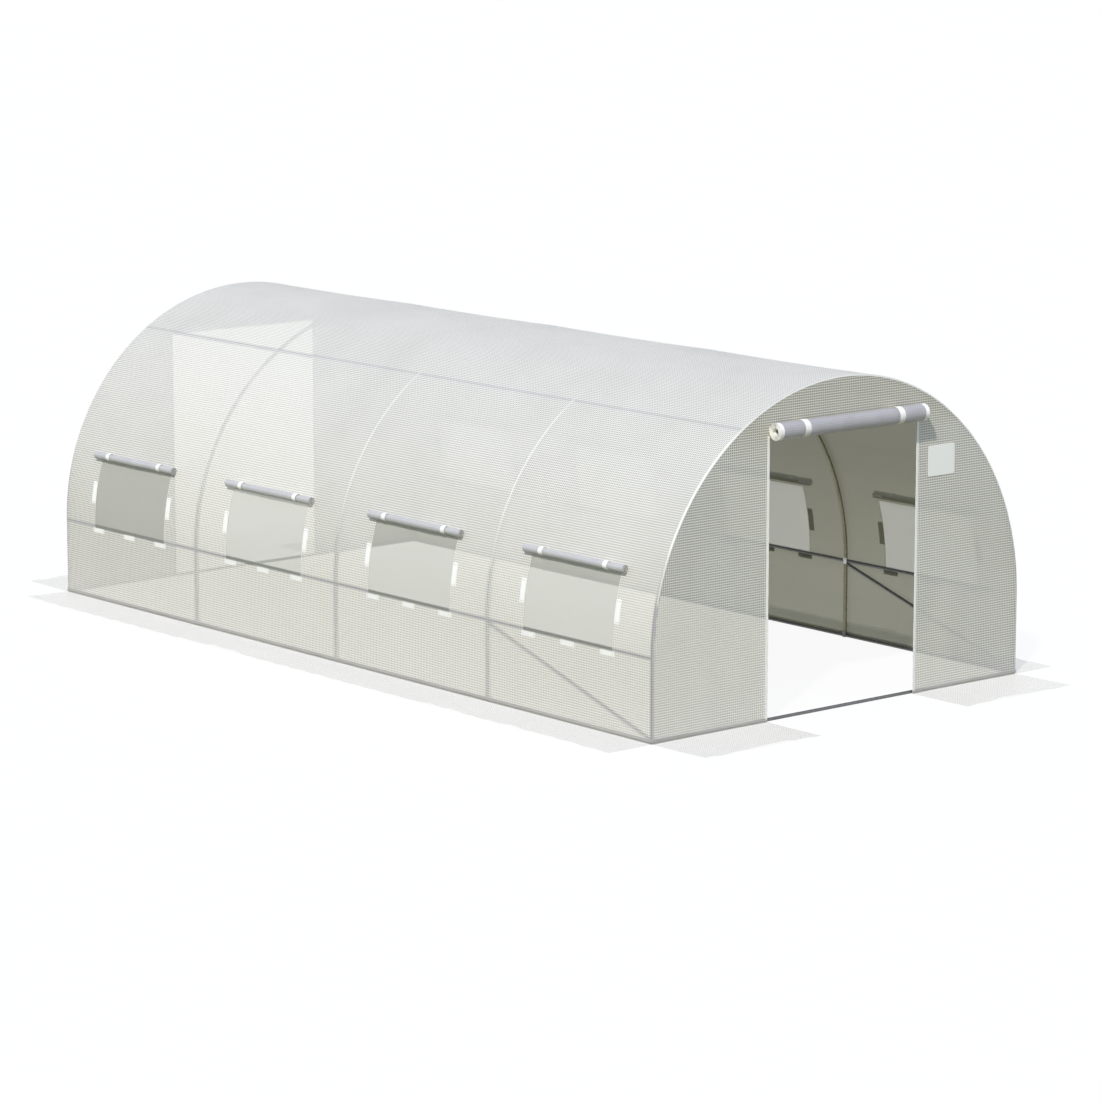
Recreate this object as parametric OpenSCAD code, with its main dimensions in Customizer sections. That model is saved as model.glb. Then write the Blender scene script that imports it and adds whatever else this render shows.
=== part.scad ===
// Polytunnel greenhouse: a tubular hoop frame under a tight foil cover,
// with a rolled-up door in each end and four netted windows in each side.
// X runs across the tunnel, Y along it with the front end at -Y, Z up from the ground.

/* [Tunnel] */
// Length over the two end panels
tunnel_length = 6000; // [5200:50:9000]
// Width over the cover
tunnel_width = 3000; // [2700:50:3600]
// Height of the straight legs below the arch, or more where a tall doorway needs it
leg_height = 500; // [420:10:700]

/* [Frame] */
// Outside diameter of the hoop tubes
hoop_d = 25; // [20:1:32]
// Outside diameter of the rails and purlins between the hoops
rail_d = 20; // [18:1:32]
// Outside diameter of the diagonal braces
brace_d = 18; // [14:1:25]
// Wall of every tube
tube_wall = 1.2; // [0.8:0.1:2]
// Angle of the upper purlins above the top of the legs
purlin_angle = 57; // [45:1:70]
// Thickness of the saddle clips that hold the rails to the hoops
clip_wall = 3; // [2:0.5:5]
// Height of a saddle clip along its hoop
clip_height = 40; // [30:1:60]
// Length of a clip's spigot inside a rail
spigot_length = 35; // [20:1:60]

/* [Cover] */
// Thickness of the cover
foil = 3; // [2:0.5:6]
// Width of the ground flaps along the sides
side_apron = 325; // [200:5:500]
// Width of the ground flaps across the ends
end_apron = 460; // [200:5:600]

/* [Doorways] */
// Clear width of a doorway
door_width = 1200; // [900:10:1500]
// Clear height of a doorway
door_height = 1700; // [1400:10:1750]
// Diameter of the rolled-up door
door_roll_d = 107; // [80:1:130]
// Spacing of the layers in the rolled-up door
door_roll_pitch = 8; // [7:0.5:10]
// Length of the rolled-up door past each side of the doorway
door_roll_overhang = 5; // [0:1:80]
// Least depth of the end wall over a doorway
header_depth = 160; // [130:5:250]
// Height of the door roll's axis above the top of the doorway
door_roll_lift = 30; // [20:1:60]
// Distance of a door strap from the middle of the doorway
door_strap_offset = 385; // [200:5:420]
// Width of a door strap
door_strap_width = 45; // [25:1:70]
// Width of the zip tape along each side of a doorway
zip_width = 20; // [10:1:40]

/* [Windows] */
// Width of a window
window_width = 800; // [500:10:900]
// Drop of a window sill below the top of the legs
sill_drop = 10; // [5:1:30]
// Rise of a window along the arch above the top of the legs
window_rise = 450; // [300:10:520]
// Thickness of the window net
net = 2; // [1:0.5:2]
// Diameter of a rolled-up window flap
flap_roll_d = 50; // [36:1:70]
// Spacing of the layers in a rolled-up window flap
flap_roll_pitch = 7; // [7:0.5:9]
// Length of a rolled-up flap past each side of its window
flap_roll_overhang = 50; // [20:1:100]
// Height of a rolled-up flap's axis above its window, along the arch
flap_roll_lift = 27; // [10:1:60]
// Distance of a flap strap from the middle of its window
flap_strap_offset = 290; // [150:5:350]
// Width of a flap strap
flap_strap_width = 38; // [20:1:60]
// Thickness of straps, tapes and zips
tape = 2; // [1:0.5:3]
// Width of the upright hook tapes beside a window
side_tape_width = 45; // [20:1:60]
// Length of the upright hook tapes beside a window
side_tape_length = 150; // [80:5:200]
// Rise of the upright hook tapes above the top of the legs
side_tape_rise = 150; // [100:5:200]
// Length of the hook tapes under a window sill
sill_tape_length = 127; // [60:1:200]
// Height of the hook tapes under a window sill
sill_tape_height = 33; // [20:1:50]
// Spacing of the hook tapes under a window sill
sill_tape_pitch = 356; // [210:1:380]

/* [Hidden] */
$fn = 180;
bays = 4;
cut_over = 60;
seat_gap = 0.3;
seam = 0.1;
door_half_turns = 9;
flap_half_turns = 5;
strap_opening = 40;
tapes_under_sill = [-1, 0, 1];

cover_r = tunnel_width / 2;
cover_in = cover_r - foil;
leg_top = max(leg_height, door_height + header_depth - cover_r);
total_height = leg_top + cover_r;
front_y = -tunnel_length / 2;
widest_tube = max(hoop_d, rail_d, brace_d);
hoop_r = cover_in - seat_gap - widest_tube / 2;
bay = tunnel_length / bays;
bay_middles = [for (i = [0:bays - 1]) front_y + (i + 0.5) * bay];

saddle_in = hoop_d / 2 + seat_gap;
rail_end = saddle_in + clip_wall + seat_gap;
end_hoop_y = tunnel_length / 2 - foil - rail_end;
hoop_y = [-end_hoop_y, -bay, 0, bay, end_hoop_y];
spigot_d = rail_d - 2 * tube_wall - 2 * seat_gap;

end_panel_r = cover_in - seat_gap;
band_margin = 60;
band_bottom = leg_top - band_margin;
window_sill = leg_top - sill_drop;
window_angle = arc_angle(window_rise);
band_angle = arc_angle(window_rise + band_margin);
strip_angle = (90 - arc_angle(seam) - band_angle) / 3;
flap_angle = arc_angle(window_rise + flap_roll_lift);
flap_tail = flap_roll_d / 2 + tape;
door_tail = door_roll_d / 2 + tape;

zinc = "#8d979e";
clip_grey = "#b9bfc2";
clear_foil = "#dfe2dd";
net_grey = "#c4c6be";
roll_grey = "#b6b7c0";
tape_white = "#f7f7f5";

function arc_angle(length) = length / cover_r * 180 / PI;

// Builds the right side as drawn, or its mirror image on the left
module on_side(side) {
    if (side < 0) mirror([1, 0, 0]) children();
    else children();
}

// Builds the front end as drawn, or its mirror image at the rear
module at_end(end) {
    if (end > 0) mirror([0, 1, 0]) children();
    else children();
}

// Straight tube standing on the origin
module tube(d, length) {
    difference() {
        cylinder(d = d, h = length);
        translate([0, 0, -cut_over]) cylinder(d = d - 2 * tube_wall, h = length + 2 * cut_over);
    }
}

// Tube along Y between two places
module tube_along(d, from, to) {
    translate([0, to, 0]) rotate([90, 0, 0]) tube(d, to - from);
}

// Curved patch of the arch, between two angles above the top of the right legs
module arch_patch(middle, width, from, to, inner, thickness) {
    translate([0, middle + width / 2, leg_top])
        rotate([90, -from, 0])
            rotate_extrude(angle = to - from)
                translate([inner, 0]) square([thickness, width]);
}

// Places a piece on the right side of a hoop, with its X axis towards the middle of the tunnel
module on_hoop(index, angle) {
    translate([0, hoop_y[index], leg_top])
        rotate([0, -angle, 0])
            translate([hoop_r, 0, 0])
                mirror([1, 0, 0]) children();
}

// Hoop: two straight legs and a half-round arch
module hoop(index) {
    color(zinc) translate([0, hoop_y[index], 0]) union() {
        for (side = [-1, 1])
            translate([side * hoop_r, 0, 0]) tube(hoop_d, leg_top);
        translate([0, 0, leg_top])
            rotate([90, 0, 0])
                rotate_extrude(angle = 180)
                    translate([hoop_r, 0]) difference() {
                        circle(d = hoop_d);
                        circle(d = hoop_d - 2 * tube_wall);
                    }
    }
}

// One rail length in each bay, ending at the saddles of the clips
module bay_rails() {
    for (i = [0:bays - 1])
        tube_along(rail_d, hoop_y[i] + rail_end, hoop_y[i + 1] - rail_end);
}

module base_rail(side) {
    color(zinc) on_side(side) translate([hoop_r, 0, rail_d / 2]) bay_rails();
}

module end_base_rail(end) {
    reach = hoop_r - rail_end;
    color(zinc) at_end(end)
        translate([0, -end_hoop_y, rail_d / 2])
            rotate([0, 0, 90]) tube_along(rail_d, -reach, reach);
}

module mid_rail(side) {
    color(zinc) on_side(side) translate([hoop_r, 0, leg_top]) bay_rails();
}

module purlin(side) {
    color(zinc) on_side(side)
        translate([0, 0, leg_top])
            rotate([0, -purlin_angle, 0])
                translate([hoop_r, 0, 0]) bay_rails();
}

// Saddle round the inner half of a hoop, with a spigot for each rail that meets it
module saddle_clip(low, high, front, rear, inner) {
    spigot_start = saddle_in + clip_wall / 2;
    translate([0, 0, low]) rotate([0, 0, -90]) rotate_extrude(angle = 180)
        translate([saddle_in, 0]) square([clip_wall, high - low]);
    for (way = [if (front) 180, if (rear) 0, if (inner) -90])
        rotate([0, 0, way])
            translate([0, spigot_start, 0])
                rotate([-90, 0, 0])
                    cylinder(d = spigot_d, h = rail_end - spigot_start + spigot_length);
}

module base_clips() {
    color(clip_grey)
        for (side = [-1, 1], i = [0:bays])
            on_side(side)
                translate([0, 0, rail_d / 2 - leg_top])
                    on_hoop(i, 0)
                        saddle_clip(-rail_d / 2, clip_height - rail_d / 2, i > 0, i < bays, i == 0 || i == bays);
}

module rail_clips(angle) {
    color(clip_grey)
        for (side = [-1, 1], i = [0:bays])
            on_side(side)
                on_hoop(i, angle)
                    saddle_clip(-clip_height / 2, clip_height / 2, i > 0, i < bays, false);
}

// Diagonal tube in the front bay of each side, mitred upright at both ends
module front_braces() {
    run = hoop_y[1] - hoop_y[0] - 2 * rail_end;
    floor_z = rail_d + seat_gap;
    rise = leg_top - rail_d / 2 - seat_gap - floor_z;
    half_cut = brace_d / 2 / cos(atan2(rise, run));
    slope = atan2(rise - 2 * half_cut, run);
    color(zinc)
        for (side = [-1, 1])
            on_side(side)
                translate([hoop_r, hoop_y[0] + rail_end, 0])
                    intersection() {
                        translate([0, 0, floor_z + half_cut])
                            rotate([slope, 0, 0])
                                tube_along(brace_d, -brace_d, run / cos(slope) + brace_d);
                        translate([-brace_d, 0, 0]) cube([2 * brace_d, run, leg_top]);
                    }
}

module lower_cover(side) {
    color(clear_foil) on_side(side)
        translate([cover_in, front_y, 0]) cube([foil, tunnel_length, band_bottom]);
}

// Wedge through the cover at a window, with an equal allowance off every edge
module window_wedge(middle, allowance) {
    near = cover_in - cut_over;
    far = cover_r + cut_over;
    head = window_angle - arc_angle(allowance);
    sill = window_sill + allowance;
    width = window_width - 2 * allowance;
    translate([0, middle + width / 2, 0])
        rotate([90, 0, 0])
            linear_extrude(width)
                polygon([
                    [near, sill],
                    [far, sill],
                    [far * cos(head), leg_top + far * sin(head)],
                    [near * cos(head), leg_top + near * sin(head)]
                ]);
}

// Sheet of the window strip: upright up to the leg top, then along the arch
module window_strip(middle, width, inner, thickness) {
    arch_patch(middle, width, 0, band_angle, inner, thickness);
    translate([inner, middle - width / 2, band_bottom])
        cube([thickness, width, leg_top - band_bottom]);
}

module window_cover(side) {
    color(clear_foil) on_side(side)
        difference() {
            window_strip(0, tunnel_length, cover_in, foil);
            for (middle = bay_middles) window_wedge(middle, 0);
        }
}

module arch_cover(side, index) {
    start = band_angle + index * strip_angle;
    color(clear_foil) on_side(side)
        arch_patch(0, tunnel_length, start + arc_angle(seam), start + strip_angle, cover_in, foil);
}

module window_nets(side) {
    color(net_grey) on_side(side)
        for (middle = bay_middles)
            intersection() {
                window_strip(middle, window_width, cover_in + (foil - net) / 2, net);
                window_wedge(middle, seat_gap);
            }
}

// Sheet rolled up about Z in half turns of falling radius, with a tail along its seat at +X
module rolled_sheet(d, pitch, half_turns, tail, length) {
    union() {
        for (k = [0:half_turns - 1])
            translate([k % 2 == 0 ? 0 : -pitch / 2, 0, 0])
                rotate([0, 0, 180 * k])
                    rotate_extrude(angle = 180)
                        translate([d / 2 - k * pitch / 2 - foil, 0]) square([foil, length]);
        translate([d / 2 - foil, -tail, 0]) cube([foil, tail, length]);
    }
}

// Band round a roll, open where the roll's tail leaves it
module strap(d, length) {
    rotate([0, 0, strap_opening])
        rotate_extrude(angle = 360 - 2 * strap_opening)
            translate([d / 2 + seat_gap, 0]) square([tape, length]);
}

// Places a roll or a strap, drawn about Z, over the head of a window on the right side
module at_window_head(middle, length) {
    translate([0, middle + length / 2, leg_top])
        rotate([90, -flap_angle, 0])
            translate([cover_r + seat_gap + flap_roll_d / 2, 0, 0])
                rotate([0, 0, 180]) children();
}

module window_rolls(side) {
    length = window_width + 2 * flap_roll_overhang;
    color(roll_grey) on_side(side)
        for (middle = bay_middles)
            at_window_head(middle, length)
                rolled_sheet(flap_roll_d, flap_roll_pitch, flap_half_turns, flap_tail, length);
}

module window_straps() {
    color(tape_white)
        for (side = [-1, 1], middle = bay_middles, hand = [-1, 1])
            on_side(side)
                at_window_head(middle + hand * flap_strap_offset, flap_strap_width)
                    strap(flap_roll_d, flap_strap_width);
}

// Hook tapes that hold the flap down: one beside each edge, a row under the sill
module hook_tapes(side) {
    seat = cover_r + seat_gap;
    beside = window_width / 2 + side_tape_width / 2;
    color(tape_white) on_side(side)
        for (middle = bay_middles) {
            for (hand = [-1, 1])
                arch_patch(middle + hand * beside, side_tape_width, arc_angle(side_tape_rise),
                           arc_angle(side_tape_rise + side_tape_length), seat, tape);
            for (k = tapes_under_sill)
                translate([seat, middle + k * sill_tape_pitch - sill_tape_length / 2, window_sill - sill_tape_height])
                    cube([tape, sill_tape_length, sill_tape_height]);
        }
}

// Outline of an end wall inside the cover
module arch_outline() {
    translate([-end_panel_r, 0]) square([2 * end_panel_r, leg_top]);
    translate([0, leg_top])
        intersection() {
            circle(end_panel_r);
            translate([-end_panel_r, 0]) square([2 * end_panel_r, end_panel_r]);
        }
}

// Sheet of an end wall, cut from the arch outline by a window given as corner and size
module end_panel(end, corner, size) {
    color(clear_foil) at_end(end)
        translate([0, front_y + foil, 0])
            rotate([90, 0, 0])
                linear_extrude(foil)
                    intersection() {
                        arch_outline();
                        translate(corner) square(size);
                    }
}

module side_panel(end, side) {
    breadth = end_panel_r - door_width / 2;
    end_panel(end, [side < 0 ? -end_panel_r : door_width / 2, 0], [breadth, total_height]);
}

module top_panel(end) {
    end_panel(end, [-door_width / 2, door_height], [door_width, total_height - door_height]);
}

module side_ground_flap(side) {
    color(clear_foil) on_side(side)
        translate([cover_r, front_y, 0]) cube([side_apron, tunnel_length, foil]);
}

module end_ground_flaps(end) {
    color(clear_foil) at_end(end)
        for (side = [-1, 1])
            on_side(side)
                translate([door_width / 2, front_y - end_apron, 0])
                    cube([cover_r - door_width / 2, end_apron, foil]);
}

// Places a roll or a strap, drawn about Z, over the front doorway
module at_door_head(middle, length) {
    translate([middle + length / 2, front_y - seat_gap - door_roll_d / 2, door_height + door_roll_lift])
        rotate([-90, 0, 90]) children();
}

module door_roll(end) {
    length = door_width + 2 * door_roll_overhang;
    color(roll_grey) at_end(end)
        at_door_head(0, length)
            rolled_sheet(door_roll_d, door_roll_pitch, door_half_turns, door_tail, length);
}

module door_straps() {
    color(tape_white)
        for (end = [-1, 1], hand = [-1, 1])
            at_end(end)
                at_door_head(hand * door_strap_offset, door_strap_width)
                    strap(door_roll_d, door_strap_width);
}

module door_zips() {
    color(tape_white)
        for (end = [-1, 1], side = [-1, 1])
            at_end(end) on_side(side)
                translate([door_width / 2, front_y - seat_gap - tape, foil + seat_gap])
                    cube([zip_width, tape, door_height - foil - seat_gap]);
}

hoop(0);  // hoop_1
hoop(1);  // hoop_2
hoop(2);  // hoop_3
hoop(3);  // hoop_4
hoop(4);  // hoop_5
base_rail(-1);  // left_base_rail
base_rail(1);  // right_base_rail
end_base_rail(-1);  // front_base_rail
end_base_rail(1);  // rear_base_rail
mid_rail(-1);  // left_mid_rail
mid_rail(1);  // right_mid_rail
purlin(-1);  // left_purlin
purlin(1);  // right_purlin
front_braces();
base_clips();
rail_clips(0);  // mid_rail_clips
rail_clips(purlin_angle);  // purlin_clips
lower_cover(-1);  // left_lower_cover
window_cover(-1);  // left_window_cover
arch_cover(-1, 0);  // left_shoulder_cover
arch_cover(-1, 1);  // left_haunch_cover
arch_cover(-1, 2);  // left_crown_cover
lower_cover(1);  // right_lower_cover
window_cover(1);  // right_window_cover
arch_cover(1, 0);  // right_shoulder_cover
arch_cover(1, 1);  // right_haunch_cover
arch_cover(1, 2);  // right_crown_cover
side_panel(-1, -1);  // front_left_panel
side_panel(-1, 1);  // front_right_panel
top_panel(-1);  // front_top_panel
side_panel(1, -1);  // rear_left_panel
side_panel(1, 1);  // rear_right_panel
top_panel(1);  // rear_top_panel
side_ground_flap(-1);  // left_apron
side_ground_flap(1);  // right_apron
end_ground_flaps(-1);  // front_aprons
end_ground_flaps(1);  // rear_aprons
window_nets(-1);  // left_window_nets
window_nets(1);  // right_window_nets
window_rolls(-1);  // left_window_rolls
window_rolls(1);  // right_window_rolls
window_straps();
hook_tapes(-1);  // left_hook_tapes
hook_tapes(1);  // right_hook_tapes
door_roll(-1);  // front_door_roll
door_roll(1);  // rear_door_roll
door_straps();
door_zips();
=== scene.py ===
"""Walk-in garden tunnel: a foil cover with netted windows and rolled-up doors over a frame of steel tubes."""
import math
from typing import NamedTuple

import bmesh
import bpy
import numpy as np
from bpy.props import FloatProperty, FloatVectorProperty, IntProperty, PointerProperty
from bpy.types import Operator, Panel, PropertyGroup
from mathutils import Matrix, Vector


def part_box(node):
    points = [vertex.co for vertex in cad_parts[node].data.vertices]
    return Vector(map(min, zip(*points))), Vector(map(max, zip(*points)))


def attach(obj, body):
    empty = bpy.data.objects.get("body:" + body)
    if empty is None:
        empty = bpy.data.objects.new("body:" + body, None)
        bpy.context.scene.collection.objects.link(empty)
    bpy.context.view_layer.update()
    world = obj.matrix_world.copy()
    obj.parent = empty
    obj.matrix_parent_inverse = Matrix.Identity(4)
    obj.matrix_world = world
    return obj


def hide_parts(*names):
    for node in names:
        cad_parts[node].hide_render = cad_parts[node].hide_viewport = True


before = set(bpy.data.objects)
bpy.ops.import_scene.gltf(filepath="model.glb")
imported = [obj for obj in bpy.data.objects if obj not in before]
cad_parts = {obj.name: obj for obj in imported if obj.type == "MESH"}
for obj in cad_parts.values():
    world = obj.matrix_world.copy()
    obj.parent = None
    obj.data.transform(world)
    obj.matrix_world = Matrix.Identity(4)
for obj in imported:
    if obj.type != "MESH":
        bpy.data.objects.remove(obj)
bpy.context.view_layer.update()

bl_info = {
    "name": "Garden Tunnel",
    "version": (1, 0, 0),
    "blender": (4, 5, 0),
    "location": "3D View > Sidebar > Tunnel",
    "description": "Dresses a tube frame as a walk-in garden tunnel with a reinforced foil cover",
    "category": "Object",
}


def middle_of(node):
    """Middle of a node's box."""
    low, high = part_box(node)
    return (low + high) / 2


# Places read from the solid model, in metres
RADIUS = -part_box("left_lower_cover")[0].x
HALF_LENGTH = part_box("left_lower_cover")[1].y
LEG_TOP = middle_of("left_mid_rail").z
PURLIN = middle_of("left_purlin")
DOOR_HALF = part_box("front_top_panel")[1].x
DOOR_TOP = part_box("front_top_panel")[0].z
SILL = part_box("left_window_nets")[0].z
ROLL_LOW, ROLL_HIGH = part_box("front_door_roll")
ZIP_LOW, ZIP_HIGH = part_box("door_zips")
BRACE_LOW, BRACE_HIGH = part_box("front_braces")
SIDE_FLAP = -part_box("left_apron")[0].x - RADIUS
END_FLAP = -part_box("front_aprons")[0].y - HALF_LENGTH
HOOP_NODES = sorted(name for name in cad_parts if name.startswith("hoop_"))
HOOPS = np.linspace(-HALF_LENGTH, HALF_LENGTH, len(HOOP_NODES))
BAYS = (HOOPS[:-1] + HOOPS[1:]) / 2

# Length of the cover over the arch, and the lengths along it at which it lies on a rail
CLOTH_LENGTH = 2 * LEG_TOP + math.pi * RADIUS
PURLIN_LENGTH = LEG_TOP + RADIUS * math.atan2(PURLIN.z - LEG_TOP, -PURLIN.x)
LEFT_RAILS = np.array([0, LEG_TOP, PURLIN_LENGTH])
RAILS = np.concatenate([LEFT_RAILS, CLOTH_LENGTH - LEFT_RAILS[::-1]])

# Thicknesses as modelled
FLAP_SHEET, FLAP_STRAP, HOOK_TAPE = 0.002, 0.002, 0.002
DOOR_SHEET, DOOR_STRAP, PATCH = 0.0022, 0.0025, 0.0014
ZIP_TAPE, ZIP_TOOTH = 0.0018, 0.003
# Half the thickness of a brace, and how far a net laps under the foil
BRACE_RADIUS, NET_LAP = 0.01, 0.004
# Gap between a ground flap and its wall, and the share of its width to which the flap is trimmed
FLAP_GAP, FLAP_TRIM = 0.001, 0.997
# How far the middles of flat pieces stand off an end wall, and the gaps behind the rolls
ZIP_OFF, TOOTH_OFF, PATCH_OFF = 0.0012, 0.0022, 0.0008
FLAP_ROLL_GAP, DOOR_ROLL_GAP = 0.0012, 0.0005
# Teeth: distance of their row from the doorway, and the bare ends of the zip below and above it
TOOTH_PLACE, TEETH_START, TEETH_END = 0.004, 0.008, 0.01
# A roll under its straps: how much thinner it is, and over what reach
PINCH, PINCH_REACH = 0.09, 0.03
# Heights between which the painted shade on the foil's inner face deepens, and the soft edge of its low band of
# painted shade
INNER_LOW, INNER_HIGH, BAND_EDGE = 0.4, 1.3, 0.004
# Half a side of the floor
FLOOR = 60
# Edges sharper than this are drawn sharp
SHARP = math.radians(50)
# Span that the phases of waves are drawn from, about a full turn
FULL_TURN = 6.28


def linear(hexcode):
    """An sRGB hex value as linear red, green and blue."""
    c = np.array([int(hexcode[i:i + 2], 16) for i in (1, 3, 5)]) / 255
    return tuple(np.where(c <= 0.04045, c / 12.92, ((c + 0.055) / 1.055) ** 2.4).tolist())


def colour(name, hexcode, description):
    """A colour property with an sRGB default."""
    return FloatVectorProperty(name=name, description=description, default=linear(hexcode), subtype="COLOR",
                               size=3, min=0, max=1)


def length(name, metres, description):
    """A length property in metres."""
    return FloatProperty(name=name, description=description, default=metres, unit="LENGTH", min=0,
                         precision=4)


def share(name, value, description):
    """A property from 0 to 1."""
    return FloatProperty(name=name, description=description, default=value, subtype="FACTOR", min=0, max=1)


class CoverSettings(PropertyGroup):
    """The foil of the arch and of the end walls."""
    sag: length("Sag", 0.006, "How far the foil sinks in the middle of a field between hoops and rails")
    slack: length("Slack", 0.005, "How far an end wall sinks in beside its doorway")
    crease: length("Crease height", 0.001, "Height of the upright creases low on the end walls")
    fold: length("Fold radius", 0.01, "Radius of the bend from the arch into an end wall")
    thread_pitch: length("Thread pitch", 0.015, "Distance between the reinforcing threads as drawn")
    thread_width: share("Thread width", 0.42, "Share of the pitch that a thread takes up")
    film: colour("Film", "#a69f88", "Colour of the film between the threads of the end walls")
    arch_film: colour("Arch film", "#bdb6a3", "Colour of the film between the threads of the arch")
    thread: colour("Thread", "#efebe1", "Colour of the reinforcing threads")
    # Painted shade: the inner face is drawn dull olive high up and paler near the ground, for the shade inside
    # the tunnel
    inner: colour("Inner face", "#7a7a52", "Colour of the inner face high up, where it is duller")
    inner_low: colour("Low inner face", "#b4b19f", "Colour of the inner face near the ground")
    clear: colour("Clear film", "#fffeea", "Tint of what shows through the film")
    # Painted highlight: white lines of light over the hoops and along the arch's ends, drawn into the foil
    taut: colour("Taut foil", "#fffbee", "Colour of the foil where it is pulled tight over a hoop")
    # Painted shade: grey lines where a tube lies behind the foil
    tube_shade: colour("Touching foil", "#76778b", "Colour of the foil where it clings to a tube")
    # Painted shade over the doorways
    header: colour("Header", "#f3f2ed", "Tint of the foil over a doorway, a little darker than the rest")
    film_cover: share("Film cover", 0.6, "Share of light that the film of an end wall stops")
    arch_cover: share("Arch cover", 0.7, "Share of light that the film of the arch stops")
    thread_cover: share("Thread cover", 0.96, "Share of light that a thread stops")
    # Painted shade: the inner face stops more light high up than near the ground
    inner_cover: share("Inner cover", 0.885, "Share of light that the inner face stops high up")
    inner_low_cover: share("Low inner cover", 0.83, "Share of light that the inner face stops near the ground")
    # Painted shade: a low band at the ground that stops more light
    band: length("Low band", 0.085, "Height of the band on the inner face, at the ground, that stops more light")
    band_cover: share("Low band cover", 0.05, "Share of light that the low band stops besides")
    glow: share("Glow", 0.08, "Share of the foil's colour that is lit from behind")


class FlapSettings(PropertyGroup):
    """The ground flaps beside the cover."""
    wave: length("Wave", 0.012, "How high the free edge of a flap lifts")
    film_cover: share("Film cover", 0.2, "Share of light that the film of a flap stops")
    thread_cover: share("Thread cover", 0.48, "Share of light that a thread of a flap stops")
    clear: colour("Clear film", "#ffffff", "Tint of the ground that shows through a flap")


class WindowSettings(PropertyGroup):
    """Nets, rolled flaps, straps and hook tapes of the side windows."""
    width: length("Width", 0.8, "Width of a window")
    rise: length("Rise", 0.45, "Height of a window above the mid rail, along the arch")
    roll_radius: length("Roll radius", 0.025, "Outer radius of a rolled flap")
    roll_core: length("Roll core", 0.004, "Radius of the innermost turn of a rolled flap")
    roll_turns: IntProperty(name="Turns", description="Turns in a rolled flap", default=6, min=2, max=12)
    roll_tail: length("Roll tail", 0.012, "Length of a rolled flap's straight stretch up the wall")
    roll_lift: length("Roll lift", 0.027, "Height of a rolled flap's axis above the window, along the arch")
    overhang: length("Overhang", 0.05, "How far a rolled flap reaches past the window at each side")
    strap_place: length("Strap place", 0.29, "Distance of a strap from the middle of the window")
    strap_width: length("Strap width", 0.038, "Width of a strap")
    side_tape_width: length("Side tape width", 0.045, "Width of the upright tapes beside a window")
    side_tape_length: length("Side tape length", 0.15, "Length of the upright tapes beside a window")
    side_tape_rise: length("Side tape rise", 0.225, "Height of an upright tape's middle above the mid rail")
    sill_tape_length: length("Sill tape length", 0.127, "Length of the flat tapes under a window")
    sill_tape_height: length("Sill tape height", 0.033, "Height of the flat tapes under a window")
    sill_tape_pitch: length("Sill tape pitch", 0.356, "Spacing of the three flat tapes under a window")
    net: colour("Net", "#d5d3c7", "Colour of the net's yarn")
    flap: colour("Flap", "#b9b7b5", "Colour of the rolled foil")


class DoorSettings(PropertyGroup):
    """Rolled doors, their straps, the zips beside the doorways and the bare patch."""
    roll_core: length("Roll core", 0.024, "Radius of the innermost turn of a rolled door")
    roll_turns: IntProperty(name="Turns", description="Turns in a rolled door", default=7, min=2, max=14)
    roll_tail: length("Roll tail", 0.02, "Length of a rolled door's straight stretch up the wall")
    hem: length("Hem", 0.028, "Width of the white hem at each end of a rolled door")
    strap_place: length("Strap place", 0.385, "Distance of a strap from the middle of the doorway")
    strap_width: length("Strap width", 0.045, "Width of a strap")
    zip_width: length("Zip width", 0.02, "Width of the tape of a zip")
    tooth_width: length("Tooth width", 0.007, "Width of a zip tooth")
    tooth_pitch: length("Tooth pitch", 0.008, "Distance between zip teeth as drawn")
    patch_width: length("Patch width", 0.225, "Width of the bare patch on the front wall")
    patch_height: length("Patch height", 0.19, "Height of the bare patch")
    patch_across: length("Patch across", 0.8125, "Distance of the bare patch from the middle of the tunnel")
    patch_rise: length("Patch rise", 1.412, "Height of the bare patch's middle above the ground")
    sheet: colour("Sheet", "#a5a2a3", "Colour of the rolled door")
    tape: colour("Tape", "#fffcf2", "Colour of straps, hook tapes, zips, hems and the patch")


class FrameSettings(PropertyGroup):
    """Finish of the steel tubes and of the clips."""
    # Painted light and shade: the hoops' olive tint stands in for light through the foil, the rails' darker grey
    # for shade; both are one zinc coat
    hoop: colour("Hoop", "#98967e", "Colour of the galvanised hoops")
    rail: colour("Rail", "#757678", "Colour of the galvanised rails, purlins and braces")
    clip: colour("Clip", "#eceeea", "Colour of the zinc plated clips")


class StageSettings(PropertyGroup):
    """Floor, light and camera."""
    floor: colour("Floor", "#878561", "Colour of the light that the floor throws back")
    shadow: share("Floor shadow", 0.07, "How much of the shadow the floor keeps to the eye")
    sky: colour("Sky", "#9cb1da", "Colour of the light from straight above")
    horizon: colour("Horizon", "#becfeb", "Colour of the light from all round, low down")
    key_strength: FloatProperty(name="Key strength", description="Strength of the lamp", default=2.7, min=0)
    key_colour: colour("Key colour", "#fffcf6", "Colour of the lamp")
    key_from: FloatVectorProperty(name="Key from", description="Direction that the lamp's light comes from",
                                  default=(-0.6, -0.38, 0.65), subtype="DIRECTION", size=3)
    key_angle: FloatProperty(name="Key angle", description="Angle that the lamp takes up in the sky",
                             default=math.radians(3), subtype="ANGLE", min=0)
    place: FloatVectorProperty(name="Camera place", description="Where the camera stands", size=3,
                               default=(-16.9919, -20.4901, 5.4503), subtype="TRANSLATION", unit="LENGTH")
    turn: FloatVectorProperty(name="Camera turn", description="How the camera is turned", size=3,
                              default=(math.pi / 2 - 0.1827, 0, -0.6999), subtype="EULER", unit="ROTATION")
    lens: FloatProperty(name="Lens", description="Focal length of the camera", default=136.935, unit="CAMERA")


# Shapes: each is a tuple of points, faces and map coordinates


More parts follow.
